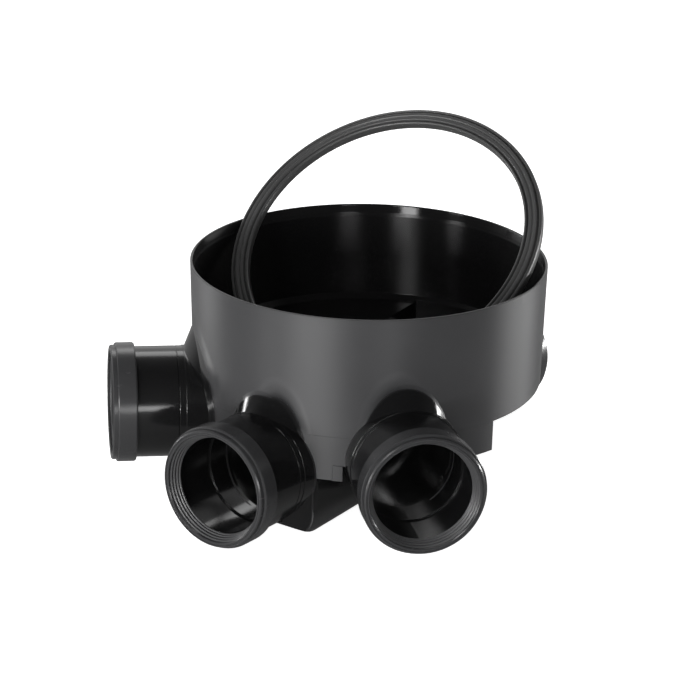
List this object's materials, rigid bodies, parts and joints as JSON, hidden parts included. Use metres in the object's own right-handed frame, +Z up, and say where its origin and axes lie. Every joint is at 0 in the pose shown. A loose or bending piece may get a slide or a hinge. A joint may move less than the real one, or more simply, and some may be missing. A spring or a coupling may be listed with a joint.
{
  "type": "drain inspection chamber base",
  "caption": "Round plastic inspection chamber base with a riser socket, open channels, pipe sockets with snap caps and rubber seals, and a loose riser ring",
  "frame": {"origin": "on the ground under the riser's axis, in the sole of the foot", "axes": "+Z up along the riser, +Y along the main run towards the outlet, +X to the right when looking downstream"},
  "size_m": [0.4906, 0.5728, 0.381],
  "materials": {
    "moulding": "satin moulded polypropylene, black",
    "cap": "gloss moulded polypropylene, black",
    "seal": "smooth black rubber",
    "ring": "smooth black rubber with fine grooves"
  },
  "bodies": {
    "root": {"chamber_base": "moulding", "cap_main_inlet": "cap", "cap_left_inlet": "cap", "cap_right_inlet": "cap", "cap_outlet": "cap", "seal_main_inlet": "seal", "seal_left_inlet": "seal", "seal_right_inlet": "seal", "seal_outlet": "seal", "riser_seal": "ring"}
  },
  "joints": []
}
